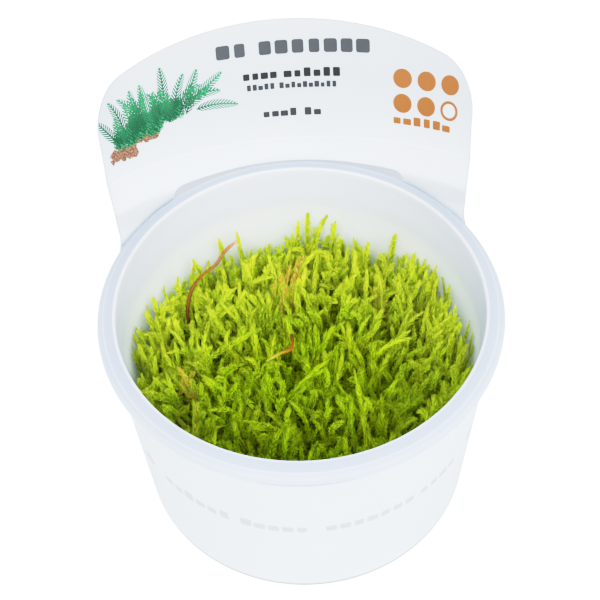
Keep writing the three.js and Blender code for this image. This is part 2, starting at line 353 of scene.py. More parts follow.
def spinProfile(corners, steps):
    # corners are [radius, height, rounding] up the outside of a solid of revolution
    bm = bmesh.new()
    verts = [bm.verts.new((radius * mm, 0, height * mm)) for radius, height, rounding in corners]
    for low, high in zip(verts, verts[1:]):
        bm.edges.new((low, high))
    for vert, (radius, height, rounding) in zip(verts, corners):
        if rounding:
            bmesh.ops.bevel(bm, geom=[vert], offset=rounding * mm, offset_type="OFFSET", segments=4,
                            profile=0.5, affect="VERTICES", material=-1)
    bmesh.ops.spin(bm, geom=bm.verts[:] + bm.edges[:], cent=(0, 0, 0), axis=(0, 0, 1), dvec=(0, 0, 0),
                   angle=math.tau, steps=steps, use_merge=True, use_duplicate=False)
    bmesh.ops.remove_doubles(bm, verts=bm.verts, dist=0.001 * mm)
    bmesh.ops.recalc_face_normals(bm, faces=bm.faces)
    return bm


def makeCupPlastic():
    material, tree, shader = newMaterial("cupPlastic")
    skin = placeGroup(tree, mouldedSkin, Place=objectPlace(tree), CloudScale=55.0, GrainScale=900.0)
    x, y, z = splitPlace(tree, objectPlace(tree))
    away = hypotenuse(tree, x, y)
    # painted highlights on the lip and the flange's step, painted shade on the flange and its rolled edge
    low, high = cup["tones"][0][0], cup["tones"][-1][0]
    outward = remap(tree, away, low * mm, high * mm, smooth=False)
    tone = colourSteps(tree, outward, [((radius - low) / (high - low), colour) for radius, colour in cup["tones"]])
    inside = remap(tree, away, (cup["lipRadius"] - 0.05) * mm, (cup["lipRadius"] - 0.3) * mm)
    # painted light and a painted green reflection of the moss on the inner wall
    for (top, bottom), paintedWallTone in cup["paintedWallLight"]:
        nearMoss = calc(tree, "MULTIPLY", remap(tree, z, top * mm, bottom * mm), inside)
        tone = mixColour(tree, nearMoss, tone, paintedWallTone)
    tone = clouded(tree, tone, skin, cup["cloudTone"])
    dots = tree.nodes.new("ShaderNodeTexVoronoi")
    feedAll(tree, dots.inputs, {"Vector": objectPlace(tree), "Scale": cup["speckScale"]})
    fromPatch = vectorCalc(tree, "DISTANCE", objectPlace(tree), [part * mm for part in cup["speckPlace"]])
    speckSize = remap(tree, fromPatch, *(reach * mm for reach in cup["speckReach"]), cup["speckSize"], 0.0)
    chance = tree.nodes.new("ShaderNodeSeparateColor")
    feed(tree, chance.inputs[0], dots.outputs["Color"])
    chosen = calc(tree, "MULTIPLY", calc(tree, "GREATER_THAN", chance.outputs[0], cup["speckRarity"]), inside)
    speck = calc(tree, "MULTIPLY", calc(tree, "LESS_THAN", dots.outputs["Distance"], speckSize), chosen)
    tone = mixColour(tree, calc(tree, "MULTIPLY", speck, cup["speckShare"]), tone, cup["speckTone"])
    feedAll(tree, shader, {
        "Base Color": tone, "Roughness": remap(tree, skin["Tone"], 0.3, 0.7, 0.3, 0.42),
        "Normal": bumpNormal(tree, skin["Height"], 0.12, 0.0002)})
    letThrough(tree, tone, 0.42)
    return material


def makeCup():
    flange, skirtInside = cup["flangeRadius"], cup["flangeRadius"] - cup["skirt"]
    base, rounding, recess = cup["baseRadius"], cup["baseRounding"], cup["recess"]
    foot = base - rounding - cup["footWidth"]
    inner = cupInside(cup["floor"])
    corners = [
        (0, 0, 0),
        (cup["discRadius"], 0, 0.12),
        (cup["discRadius"] + recess, recess, 0.12),
        (foot, recess, 0.12),
        (foot + recess, 0, 0.12),
        (base, 0, rounding),
        (cup["wallTopRadius"], cup["wallTop"] - 0.5, 0),
        (cup["wallTopRadius"] + 0.6, cup["wallTop"], 0),
        (skirtInside, cup["flangeEdge"] - 0.3, 0.5),
        (skirtInside, cup["skirtBottom"], 0.15),
        (flange, cup["skirtBottom"], 0.2),
        (flange, cup["flangeEdge"] + 0.2, 0.6),
        (cup["shoulderRadius"], cup["shoulder"], 0.35),
        (cup["lipRadius"] + 0.75, cup["height"], 0.2),
        (cup["lipRadius"], cup["height"], 0.45),
        (cupInside(cup["wallTop"] - 1.2), cup["wallTop"] - 1.2, 0.4),
        (inner, cup["floor"], 1.8 * rounding),
        (0, cup["floor"], 0),
    ]
    bm = spinProfile(corners, cup["steps"])
    shadeSmooth(bm, 50)
    dressPiece(meshFrom(bm, "milkyCup"), makeCupPlastic(), "cup_plastic", "cup")


makeCup()
print("cup done")


# label

label = {
    "thickness": 0.4, "sleeveBottom": 0.5, "sleeveTop": 53.4, "bottomRadius": 38.9, "topRadius": 41.55,
    "flareStart": 47.5, "neckSpread": 6, "neckFade": 10,
    "slotHalfAngle": 37.5, "slotEndAngle": 4, "slotEdgeRise": -0.85, "slotEdgeDip": 1.2,
    "headerBase": 56.35, "headerRadius": 44.35, "lean": 20, "halfWidth": 46.2, "rise": 34, "crown": 114, "corner": 8,
    "creaseRise": 4.9, "creaseBend": 0.35, "creaseReach": 7,
    # the sheet's grid: steps round from the middle to the back, and steps up from the foot to the top
    "columnSteps": (24, 8, 36, 72), "rowSteps": (10, 8, 6, 26),
    "creaseMark": {"Width": 90.0, "Height": 0.35, "Corner": 0.1},
    # painted shade: the header is painted darker towards its top, over so many mm from its base
    "paper": (0.82, 0.86, 0.895), "paperShadedTop": (0.60, 0.65, 0.70), "paperRise": (-2, 22),
    # the last tone, of the sheet's cut edge, is painted shade
    "paperCloud": (0.98, 0.983, 0.988), "creaseTone": (0.84, 0.87, 0.90), "paintedRimTone": (0.42, 0.48, 0.58),
    # the sleeve is painted duller than the header as painted shade, and painted shade lies between two heights under
    # the skirt and at its foot
    "sleeveShadeTone": (0.73, 0.79, 0.815), "shadeTone": (0.38, 0.42, 0.49), "shadeHeights": [(49.7, 50.1), (1.9, 0.9)],
    "grey": (0.06, 0.064, 0.072), "black": (0.014, 0.014, 0.016), "orange": (0.35, 0.12, 0.026),
    "leafDark": (0.0, 0.075, 0.027), "leafLight": (0.025, 0.24, 0.095), "bark": (0.14, 0.055, 0.028),
    "barkLight": (0.36, 0.20, 0.13), "sleeveGrey": (0.53, 0.55, 0.62),
    "discTone": (0.72, 0.76, 0.80), "ink": (0.036, 0.038, 0.043), "sprigs": 26,
    # the root and the leaves behind the sprigs, as middle, width and height of rounded patches
    "roots": [(-39.0, 11.4, 8, 3.0), (-33.5, 13.3, 9, 1.6)],
    "thickets": [(-36.6, 16.2, 7, 4.6), (-31.0, 17.6, 9, 5.6), (-25.0, 19.2, 8, 4.8)],
    "strands": {"Scale": 0.62, "Distortion": 9.0, "Detail": 3.0, "Detail Scale": 1.3},
    # two rows of plain discs, the last of the lower row open
    "discsAcross": (28.4, 34.3, 40.2), "discsUp": (14.7, 20.6), "discRadius": 2.3, "discHole": 1.6,
    # on the print map the outside lies beside the inside, and the cut edge below both
    "outsideShift": 400, "rimPlace": -50,
    # words of blocks on the header: colour, left end, foot, blocks, pitch, height and seed
    "words": [
        ("grey", -15.0, 25.9, 2, 3.9, 4.5, 3.0), ("grey", -5.2, 25.9, 7, 3.74, 4.5, 9.0),
        ("black", -9.1, 20.2, 4, 2.1, 2.2, 11.0), ("black", 0.4, 20.2, 6, 2.26, 2.2, 19.0),
        ("ink", -8.3, 17.6, 5, 1.36, 1.5, 23.0), ("ink", -0.7, 17.6, 10, 1.36, 1.5, 31.0),
        ("ink", -5.0, 10.7, 4, 2.1, 2.0, 41.0), ("ink", 4.7, 10.7, 2, 2.2, 2.0, 47.0),
        ("orange", 25.8, 9.6, 6, 2.5, 2.2, 53.0),
    ],
    # words on the sleeve: side of its front, left end from there, blocks and seed; then their foot, pitch and
    # height, and a disc's distance from the front, height and radius
    "sleeveWords": [(1, -36.5, 4, 61.0), (1, -23.0, 7, 67.0), (-1, 2.0, 5, 71.0), (-1, 19.5, 6, 79.0)],
    "sleeveLine": (28.7, 3.1, 3.2), "sleeveDisc": (44, 30.2, 1.9),
}
headerLean = math.radians(label["lean"])
tipDistance = label["headerRadius"] / math.sin(headerLean)  # from the header cone's tip to the header's base
neckDrop = (label["headerBase"] - label["sleeveTop"]) / math.cos(headerLean)
neckEdge = math.degrees(math.asin(label["halfWidth"] / (tipDistance - neckDrop)) / math.sin(headerLean))


def levelAt(angle, rise):
    # where the line up the header at an angle meets a level line of the flat sheet
    along = (tipDistance + rise) / math.cos(math.radians(angle) * math.sin(headerLean))
    return label["headerBase"] + (along - tipDistance) * math.cos(headerLean)


def outsideHeader(across, rise):
    pastSide = abs(across) - (label["halfWidth"] - label["corner"])
    pastTop = math.hypot(across, rise - label["rise"] + label["crown"]) - (label["crown"] - label["corner"])
    return math.hypot(max(pastSide, 0), max(pastTop, 0)) - label["corner"]


def headerTopAt(angle):
    turn = math.radians(angle) * math.sin(headerLean)
    inside, outside = 0.0, tipDistance + 2 * label["rise"]
    for halving in range(40):
        along = (inside + outside) / 2
        if outsideHeader(along * math.sin(turn), along * math.cos(turn) - tipDistance) > 0:
            outside = along
        else:
            inside = along
    return max(label["headerBase"] + (inside - tipDistance) * math.cos(headerLean), label["sleeveTop"])


def slotEdges(angle):
    # the lower and upper edge of the slot, which meet at its ends and beyond
    top = levelAt(angle, label["slotEdgeRise"] - label["slotEdgeDip"] * (angle / label["slotHalfAngle"]) ** 2)
    middle = (top + label["sleeveTop"]) / 2
    closing = (abs(angle) - label["slotHalfAngle"] + label["slotEndAngle"]) / label["slotEndAngle"]
    openness = math.sqrt(1 - min(max(closing, 0), 1) ** 2)
    return middle - (middle - label["sleeveTop"]) * openness, middle + (top - middle) * openness


def sheetRadius(angle, height):
    slope = (label["topRadius"] - label["bottomRadius"]) / (label["sleeveTop"] - label["sleeveBottom"])
    sleeve = label["bottomRadius"] + (min(height, label["sleeveTop"]) - label["sleeveBottom"]) * slope
    header = label["headerRadius"] + max(height - label["headerBase"], 0) * math.tan(headerLean)
    crease = 1 - abs(height - levelAt(angle, label["creaseRise"])) / label["creaseReach"]
    bend = label["creaseBend"] * max(crease, 0) if height > label["headerBase"] else 0
    apart, spread, fade = abs(angle), label["neckSpread"], label["neckFade"]
    inSlot = easeBetween((apart - label["slotHalfAngle"] + spread + fade) / fade)
    pastHeader = 1 - easeBetween((apart - neckEdge - spread) / fade)
    share = 1 if height > label["sleeveTop"] + 0.02 else inSlot * pastHeader
    share *= easeBetween((height - label["flareStart"]) / (label["sleeveTop"] - label["flareStart"]))
    return sleeve + share * (header - sleeve) + bend


def stepsPast(start, end, count):
    return list(np.linspace(start, end, count + 1))[1:]


def sheetColumns():
    slotEnd, endAngle = label["slotHalfAngle"], label["slotEndAngle"]
    inSlot, atEnd, inNeck, atBack = label["columnSteps"]
    half = [0] + stepsPast(0, slotEnd - endAngle, inSlot)
    half += [slotEnd - endAngle + endAngle * math.sin(math.radians(90 / atEnd * step)) for step in range(1, atEnd + 1)]
    half += stepsPast(slotEnd, neckEdge, inNeck) + stepsPast(neckEdge, 180, atBack)
    return [-angle for angle in half[:0:-1]] + half


def sheetHeights(angle):
    top = headerTopAt(angle)
    low, high = (min(edge, top) for edge in slotEdges(angle))
    crease = min(max(levelAt(angle, label["creaseRise"]), high), top)
    bottom, flare, sleeveTop = (label[level] for level in ("sleeveBottom", "flareStart", "sleeveTop"))
    onWall, onFlare, underCrease, overCrease = label["rowSteps"]
    heights = [bottom] + stepsPast(bottom, flare, onWall) + stepsPast(flare, sleeveTop, onFlare)
    return heights + [low, high] + stepsPast(high, crease, underCrease) + stepsPast(crease, top, overCrease)


slotRow = sum(label["rowSteps"][:2]) + 1  # row of the faces between the slot's edges
mapScale = 100  # millimetres to one unit of the print map


def printPlace(angle, height, onHeader):
    # a place on the flat sheet: level and upward, with the header's middle line at 0
    if not onHeader:
        return math.radians(angle) * label["topRadius"], height
    along = tipDistance + (height - label["headerBase"]) / math.cos(headerLean)
    turn = math.radians(angle) * math.sin(headerLean)
    return along * math.sin(turn), along * math.cos(turn) - tipDistance + label["headerBase"]


def makeLabel():
    columns = sheetColumns()
    rows = len(sheetHeights(0))
    bm = bmesh.new()
    bmesh.ops.create_grid(bm, x_segments=len(columns) - 1, y_segments=rows - 1, size=0.5)
    across, up = len(columns) - 1, rows - 1
    columnHeights = [sheetHeights(angle) for angle in columns]
    slotFaces = []
    for face in bm.faces:
        centre = face.calc_center_median()
        column, row = int((centre.x + 0.5) * across), int((centre.y + 0.5) * up)
        if row == slotRow and abs(columns[column] + columns[column + 1]) / 2 < label["slotHalfAngle"]:
            slotFaces.append(face)
    for vert in bm.verts:
        column, row = round((vert.co.x + 0.5) * across), round((vert.co.y + 0.5) * up)
        angle, height = columns[column], columnHeights[column][row]
        radius, turn = sheetRadius(angle, height) * mm, math.radians(angle)
        vert.co = (radius * math.sin(turn), radius * math.cos(turn), height * mm)
    bmesh.ops.delete(bm, geom=slotFaces, context="FACES_ONLY")
    bmesh.ops.remove_doubles(bm, verts=bm.verts, dist=0.01 * mm)
    bmesh.ops.dissolve_degenerate(bm, edges=bm.edges, dist=0.005 * mm)
    bmesh.ops.delete(bm, geom=[v for v in bm.verts if not v.link_faces], context="VERTS")
    bmesh.ops.recalc_face_normals(bm, faces=bm.faces)
    first = max(bm.faces, key=lambda face: -face.calc_center_median().z)
    if first.normal.dot(first.calc_center_median() * Vector((1, 1, 0))) > 0:
        bmesh.ops.reverse_faces(bm, faces=bm.faces)
    bmesh.ops.solidify(bm, geom=bm.faces[:], thickness=label["thickness"] * mm)
    bmesh.ops.recalc_face_normals(bm, faces=bm.faces)
    shadeSmooth(bm, 40)
    layPrintMap(bm)
    dressPiece(meshFrom(bm, "sheetLabel"), makeLabelSheet(), "label_sheet", "label")


def layPrintMap(bm):
    layer = bm.loops.layers.uv.new("sheetMap")
    for face in bm.faces:
        centre = face.calc_center_median()
        outward = face.normal.dot(Vector((centre.x, centre.y, 0)).normalized())
        onHeader = centre.z > (label["sleeveTop"] + 1) * mm
        shift = 0 if outward < -0.5 else label["outsideShift"]
        onRim = abs(outward) < 0.6
        middle = math.degrees(math.atan2(centre.x, centre.y))
        for loop in face.loops:
            corner = loop.vert.co
            angle = math.degrees(math.atan2(corner.x, corner.y))
            angle += 360 * round((middle - angle) / 360)
            x, y = printPlace(angle, corner.z / mm, onHeader)
            loop[layer].uv = ((x + shift) / mapScale, (label["rimPlace"] if onRim else y) / mapScale)


def makeLabelSheet():
    material, tree, shader = newMaterial("labelSheet")
    uv = tree.nodes.new("ShaderNodeUVMap")
    uv.uv_map = "sheetMap"
    place = vectorCalc(tree, "SCALE", uv.outputs[0], scale=mapScale)
    skin = placeGroup(tree, mouldedSkin, Place=objectPlace(tree), CloudScale=40.0, GrainScale=1600.0)
    # painted shade: the paper is painted darker up the header
    start, end = (label["headerBase"] + rise for rise in label["paperRise"])
    tone = mixColour(tree, remap(tree, splitPlace(tree, place)[1], start, end), label["paper"], label["paperShadedTop"])
    tone = clouded(tree, tone, skin, label["paperCloud"])
    tone = paintHeader(tree, place, tone)
    tone = paintSleeve(tree, place, tone)
    tone = paintEdges(tree, place, tone)
    feedAll(tree, shader, {
        "Base Color": tone, "Roughness": remap(tree, skin["Tone"], 0.3, 0.7, 0.42, 0.52), "Specular IOR Level": 0.3,
        "Normal": bumpNormal(tree, skin["Height"], 0.1, 0.0002)})
    letThrough(tree, tone, 0.42)
    return material


def printWord(tree, place, tone, colour, x, y, blocks, pitch, height, seed):
    word = placeGroup(tree, blockWord, Place=place, X=x, Y=y, Blocks=blocks, Pitch=pitch, Height=height,
                      Corner=0.14 * height, Seed=seed)
    return mixColour(tree, word["Mask"], tone, label[colour])


def printDisc(tree, place, tone, colour, x, y, radius):
    disc = placeGroup(tree, barMark, Place=place, X=x, Y=y, Width=2 * radius, Height=2 * radius, Corner=radius)
    return mixColour(tree, disc["Mask"], tone, label[colour])


def paintHeader(tree, place, tone):
    low = label["headerBase"]
    crease = placeGroup(tree, barMark, Place=place, X=0.0, Y=low + label["creaseRise"], **label["creaseMark"])
    tone = mixColour(tree, crease["Mask"], tone, label["creaseTone"])
    for colour, x, y, blocks, pitch, height, seed in label["words"]:
        tone = printWord(tree, place, tone, colour, x, low + y, blocks, pitch, height, seed)
    for y in label["discsUp"]:
        for x in label["discsAcross"]:
            tone = printDisc(tree, place, tone, "orange", x, low + y, label["discRadius"])
    x, y = label["discsAcross"][-1], low + label["discsUp"][0]
    tone = printDisc(tree, place, tone, "discTone", x, y, label["discHole"])
    return paintSprigs(tree, place, tone)


def paintSprigs(tree, place, tone):
    # a thicket of feathery sprigs on a brown root
    low = label["headerBase"]
    wobble = noiseValue(tree, place, 0.9, output="Color")
    moved = vectorCalc(tree, "MULTIPLY_ADD", wobble, (2.6, 2.6, 0), place)
    fray = noiseValue(tree, place, 3.4, output="Color")
    frayed = vectorCalc(tree, "MULTIPLY_ADD", fray, (2.4, 2.4, 0), moved)
    grain = noiseValue(tree, place, 2.4, 3.0)
    woody = mixColour(tree, remap(tree, grain, 0.4, 0.62), label["bark"], label["barkLight"])
    strands = tree.nodes.new("ShaderNodeTexWave")
    strands.bands_direction = "DIAGONAL"
    feedAll(tree, strands.inputs, {"Vector": place, **label["strands"]})
    leafy = mixColour(tree, remap(tree, strands.outputs["Fac"], 0.25, 0.8), label["leafDark"], label["leafLight"])
    for patches, warped, corner, fill in (("roots", moved, 0.7, woody), ("thickets", frayed, 1.6, leafy)):
        for x, y, width, height in label[patches]:
            mask = placeGroup(tree, barMark, Place=warped, X=x, Y=low + y, Width=width, Height=height, Corner=corner)
            tone = mixColour(tree, mask["Mask"], tone, fill)
    for index in range(label["sprigs"]):
        spread = (index * 0.618) % 1  # scattered evenly from left to right
        x = -41.0 + 21.0 * spread
        y = 12.6 + 4.4 * spread + 1.6 * math.sin(index * 1.7)
        turn = math.radians(128 - 96 * spread + 26 * math.sin(index * 2.3))
        mask = placeGroup(tree, sprig, Place=place, X=x, Y=low + y, Turn=turn, Width=2.5,
                          Length=8.2 + 2.0 * math.sin(index * 1.3), Bend=2.4 * math.sin(index * 2.9))
        shift = 0.3 - 0.6 * index / label["sprigs"]  # the sprigs drawn last are lighter
        paler = remap(tree, mask["Along"], 0.1 + shift, 1.15 + shift)
        green = mixColour(tree, paler, label["leafDark"], label["leafLight"])
        tone = mixColour(tree, mask["Mask"], tone, green)
    return tone


def paintSleeve(tree, place, tone):
    # pale words of blocks round the sleeve's front, with a plain disc at each end
    away, middle = math.pi * label["topRadius"], label["outsideShift"]
    foot, pitch, tall = label["sleeveLine"]
    for side, x, blocks, seed in label["sleeveWords"]:
        tone = printWord(tree, place, tone, "sleeveGrey", middle + side * away + x, foot, blocks, pitch, tall, seed)
    inward, y, radius = label["sleeveDisc"]
    for side in (-1, 1):
        tone = printDisc(tree, place, tone, "sleeveGrey", middle + side * (away - inward), y, radius)
    return tone


def paintEdges(tree, place, tone):
    # painted shade: the outside of the sleeve is painted duller and shaded, and the sheet's cut edge is painted grey
    across, up = splitPlace(tree, place)[:2]
    outside = calc(tree, "GREATER_THAN", across, 0.5 * label["outsideShift"])
    onSleeve = calc(tree, "MULTIPLY", outside, calc(tree, "LESS_THAN", up, label["sleeveTop"] + 0.3))
    # painted shade: the sleeve is dimmed where it lies on the cup
    tone = multiplyColour(tree, tone, label["sleeveShadeTone"], onSleeve)
    shade = calc(tree, "MAXIMUM", *(remap(tree, up, *heights) for heights in label["shadeHeights"]))
    tone = multiplyColour(tree, tone, label["shadeTone"], calc(tree, "MULTIPLY", shade, onSleeve))
    # painted shade: the cut edge is painted grey
    return mixColour(tree, calc(tree, "LESS_THAN", up, 0.5 * label["rimPlace"]), tone, label["paintedRimTone"])


makeLabel()
print("label done")


# dead stems, whose routes the moss keeps clear of

stems = {
    "dead": {
        "node": "dead_stem", "shown": 1, "radii": (0.34, 0.42, 0.46, 0.42, 0.36, 0.38, 0.42, 0.34),
        "route": [(-26.4, 16.8, 25), (-26.4, 17.0, 32), (-25.9, 18.6, 36), (-24.4, 21.8, 38.1), (-21.9, 24.3, 39.4),
                  (-19.0, 25.8, 40.5), (-16.4, 28.6, 42.1), (-13.3, 30.6, 43.4)],
        "tones": [(0.0, (0.08, 0.03, 0.004)), (0.35, (0.18, 0.066, 0.008)), (0.62, (0.26, 0.10, 0.014)),
                  (0.9, (0.36, 0.15, 0.035)), (1.0, (0.66, 0.36, 0.22))],
    },
    "red": {
        "node": "red_stem", "shown": 2, "radii": (0.34, 0.36, 0.40, 0.30, 0.42, 0.30, 0.36, 0.26),
        "route": [(-2.0, 8.6, 30), (-2.1, 6.4, 36.5), (-2.1, 3.2, 39.4), (-2.2, 0.2, 41), (-2.8, -1.6, 41.5),
                  (-4.3, -2.1, 41.4), (-5.8, -2.5, 41), (-8.2, -3.3, 40.2)],
        "tones": [(0.0, (0.12, 0.04, 0.004)), (0.35, (0.24, 0.07, 0.005)), (0.58, (0.36, 0.075, 0.006)),
                  (0.75, (0.36, 0.20, 0.01)), (1.0, (0.42, 0.48, 0.03))],
    },
}


# moss

moss = {
    "seed": 11, "fieldRadius": 37.2, "pieces": 5,
    "shoots": 600, "fills": 540, "branches": 460, "clumps": 110, "gather": 0.34, "wallShoots": 84,
    "lowTip": 31.5, "tallShare": 0.6, "highTip": (37.0, 43.0),
    "fan": (0.28, 0.08), "backLean": 0.26, "lean": 0.26, "stray": 0.2, "strayLean": 0.6, "curve": 0.46,
    "leafPitch": 0.115, "leafLength": 1.62, "leafWidth": 0.5, "leafOpening": 28, "flatness": 0.55,
    "stemRadius": 0.24, "stemSides": 3, "stemRings": 5, "stemEnd": 0.92,
    "leafStart": 0.14, "leafTurn": 137.5, "rootDepth": 0.6, "wallGap": 0.45, "wallEase": 0.9,
    # growth is capped over so many mm from this radius outwards, and stands no higher than freeTip inside it
    "capStart": 22, "capWidth": 9, "freeTip": 44,
    # how high the dense growth reaches along the wall, by angle from the back towards the right
    "edgeHeights": [
        (-180, 39), (-95, 40), (-74, 38.5), (-58, 35.5), (-46, 32.5), (-28, 32), (-12, 31), (-4, 31.5), (3, 33.5),
        (11, 36.5), (21, 36), (27, 31), (34, 30.5), (40, 34), (48, 38), (57, 39.5), (68, 38.5), (80, 37.5),
        (100, 39), (180, 39),
    ],
    # tips that stand clear of the rest against the wall, as x, y and height
    "tallTips": [
        (4.4, 36.8, 44.0), (10.9, 35.6, 41.5), (1.9, 36.6, 41.5), (-13.2, 34.3, 41.5), (-17.6, 32.9, 41.5),
        (-23.9, 27.0, 41.0), (-27.8, 22.1, 41.0), (-33.6, 16.4, 41.0), (-35.4, 12.6, 40.5), (18.2, 28.3, 41.0),
        (24.6, 28.4, 43.5), (28.4, 23.1, 41.5), (33.2, 15.8, 41.0), (35.1, 9.5, 41.0), (36.3, 2.6, 40.5),
    ],
    # a tuft of withered yellow shoots, as root and tip
    "withered": [
        ((-1.6, 19.6), (2.2, 25.6, 41.4)), ((-2.0, 19.0), (0.9, 24.9, 41.0)), ((-2.8, 18.4), (-1.1, 23.9, 40.4)),
        ((-3.6, 17.6), (-3.2, 21.8, 39.6)), ((-1.4, 17.4), (-0.3, 21.5, 39.4)), ((-3.0, 15.6), (-2.4, 18.9, 38.4)),
        ((-0.6, 19.4), (0.4, 23.2, 40.0)), ((-4.6, 17.0), (-4.8, 20.6, 38.6)),
    ],
    # places of shoots that have browned, as x, y and share
    "browned": [(-26.3, -6.0, 0.55), (-26.4, -15.0, 0.55), (20.1, 15.0, 0.4)],
    "ochres": ((0.98, 0.90, 0.20), (0.84, 0.40, 0.02)),
    # tones up a shoot, of fresh shoots and of mellow ones
    "fresh": [(0.0, (0.10, 0.16, 0.0)), (0.25, (0.31, 0.48, 0.0)), (0.5, (0.46, 0.70, 0.0)),
              (0.88, (0.55, 0.765, 0.0)), (1.0, (0.34, 0.53, 0.0))],
    "mellow": [(0.0, (0.14, 0.175, 0.0)), (0.25, (0.40, 0.52, 0.0)), (0.5, (0.58, 0.73, 0.0)),
               (0.88, (0.645, 0.80, 0.015)), (1.0, (0.46, 0.58, 0.0))],
    # painted highlight on the leaves' edges and tips
    "paintedRimTone": (0.88, 1.0, 0.08), "leafHighlightShare": 0.2,
    # painted light: shoots are painted paler the further they stand from this place, as light from the white wall, so
    # most of all at the back
    "paintedLightCentre": (0.0, -16, 34), "paintedLightReach": (16, 44), "paintedLightShare": 0.92, "paintedLightTone": (0.91, 1.0, 0.07),
    # the bed under the shoots: its foot as radius, height and rounding, its rings and the tones of its grain
    "bedFoot": [(0, 1.55, 0), (36.0, 1.55, 1.2), (37.4, 20, 0)], "bedEdge": 22,
    "bedRadius": 38, "bedRim": 24.0, "bedRise": 4.5,
    "bedRings": [37.6, 36.2, 34, 31, 28, 25, 22, 19, 16, 13, 10, 7, 4, 2],
    "bedTones": [(0.35, (0.05, 0.08, 0.0)), (0.5, (0.20, 0.31, 0.0)), (0.65, (0.46, 0.62, 0.0))],
}
rng = np.random.default_rng(moss["seed"])


def scatter(scale, count, axes=2):
    return rng.normal(scale=scale, size=(count, axes))


def levelScatter(scale, count):
    return np.c_[scatter(scale, count), np.zeros(count)]


def unit(vectors):
    return vectors / np.linalg.norm(vectors, axis=-1, keepdims=True)


def bedHeight(x, y):
    # a low dome with lumps that die away towards the wall
    share = np.minimum(np.hypot(x, y) / moss["bedRadius"], 1)
    dome = moss["bedRim"] + moss["bedRise"] * np.sqrt(1 - share ** 3)
    lumps = np.sin(x * 0.31 + 1.2) * np.cos(y * 0.27 - 0.4) + 0.6 * np.sin((x - y) * 0.52)
    return dome + 0.9 * lumps * (1 - share ** 4)


def baseUnder(root):
    return bedHeight(*root.T) - moss["rootDepth"]


def edgeHeight(place):
    angles, heights = np.array(moss["edgeHeights"]).T
    return np.interp(np.degrees(np.arctan2(*place.T)), angles, heights)


def cappedAtWall(tall, place):
    # the dense growth stays lower where it meets the wall
    nearWall = np.clip((np.hypot(*place.T) - moss["capStart"]) / moss["capWidth"], 0, 1)
    limit = edgeHeight(place) + rng.uniform(-2.0, 1.5, len(tall))
    return np.minimum(tall, nearWall * limit + (1 - nearWall) * moss["freeTip"])


def sunflower(count, radius):
    step = np.arange(count)
    away = radius * np.sqrt((step + 0.5) / count)
    turn = np.radians(step * 137.508)
    return np.stack([away * np.cos(turn), away * np.sin(turn)], axis=1)


def shootTable(root, tip, curve, thickness, tint, browned):
    # a shoot runs from its root to its tip, bowed sideways by curve
    count = len(root)
    return {
        "root": root, "tip": tip, "curve": curve, "thickness": thickness, "tint": tint, "browned": browned,
        "phase": rng.uniform(0, 360, count), "flat": unit(levelScatter(1, count)),
    }


def joinTables(*tables):
    return {key: np.concatenate([table[key] for table in tables]) for key in tables[0]}


def pointOn(table, which, share):
    share = share[:, None]
    straight = table["root"][which] + (table["tip"][which] - table["root"][which]) * share
    return straight + table["curve"][which] * (share * (1 - share) * 4)


def directionOn(table, which, share):
    share = share[:, None]
    return unit(table["tip"][which] - table["root"][which] + table["curve"][which] * (1 - 2 * share) * 4)


def brownedAt(places):
    share = np.zeros(len(places))
    for x, y, amount in moss["browned"]:
        near = np.hypot(places[:, 0] - x, places[:, 1] - y)
        share = np.maximum(share, amount * np.clip(1.7 - near / 2.0, 0, 1))
    return share


def mainShoots():
    count, clumps, spread = moss["shoots"], moss["clumps"], moss["lean"]
    place = sunflower(count, moss["fieldRadius"]) + scatter(0.45, count)
    centres = sunflower(clumps, moss["fieldRadius"]) + scatter(0.7, clumps)
    nearest = np.argmin(np.hypot(*(place[:, None] - centres[None]).transpose(2, 0, 1)), axis=1)
    root = place + (centres[nearest] - place) * moss["gather"]
    lean = 0.65 * scatter(spread, clumps)[nearest] + scatter(0.62 * spread, count)
    lean += place / moss["fieldRadius"] * np.array(moss["fan"])
    lean[:, 1] += moss["backLean"] * (1 - np.clip((place[:, 1] - 18) / 16, 0, 1))
    stray = (rng.random(count) < moss["stray"]) & (np.hypot(*place.T) < 29)
    lean[stray] += scatter(moss["strayLean"], stray.sum())
    # most shoots are low, and the tall ones among them stand clear over their whole length
    rank = 0.3 * rng.random(clumps)[nearest] + 0.7 * rng.random(count)
    low = moss["lowTip"] + 6.0 * rank
    high = moss["highTip"][0] + (moss["highTip"][1] - moss["highTip"][0]) * rank
    tall = np.where(rng.random(count) < moss["tallShare"], high, low)
    tall = cappedAtWall(tall, place)
    base = baseUnder(root)
    tip = root + lean * (tall - base)[:, None]
    curve = scatter(moss["curve"], count, 3) * (tall - base)[:, None] * 0.25
    curve[:, 2] = np.abs(curve[:, 2])
    return shootTable(np.c_[root, base], np.c_[tip, tall], curve, rng.uniform(0.88, 1.24, count),
                      0.5 * rng.random(count) + 0.5 * rng.random(clumps)[nearest],
                      brownedAt(np.c_[tip, tall]))


def tallShoots():
    tip = np.array(moss["tallTips"])
    root = tip[:, :2] * 0.93 + scatter(0.5, len(tip))
    base = baseUnder(root)
    curve = levelScatter(0.5, len(tip))
    return shootTable(np.c_[root, base], tip, curve, rng.uniform(1.05, 1.25, len(tip)),
                      rng.uniform(0.5, 0.9, len(tip)), np.zeros(len(tip)))


def oldShoots():
    root, tip = (np.array(ends) for ends in zip(*moss["withered"]))
    base = baseUnder(root)
    curve = scatter(0.7, len(tip), 3)
    return shootTable(np.c_[root, base], tip, curve, rng.uniform(0.95, 1.2, len(tip)),
                      rng.uniform(0.3, 0.9, len(tip)), rng.uniform(0.75, 1.0, len(tip)))


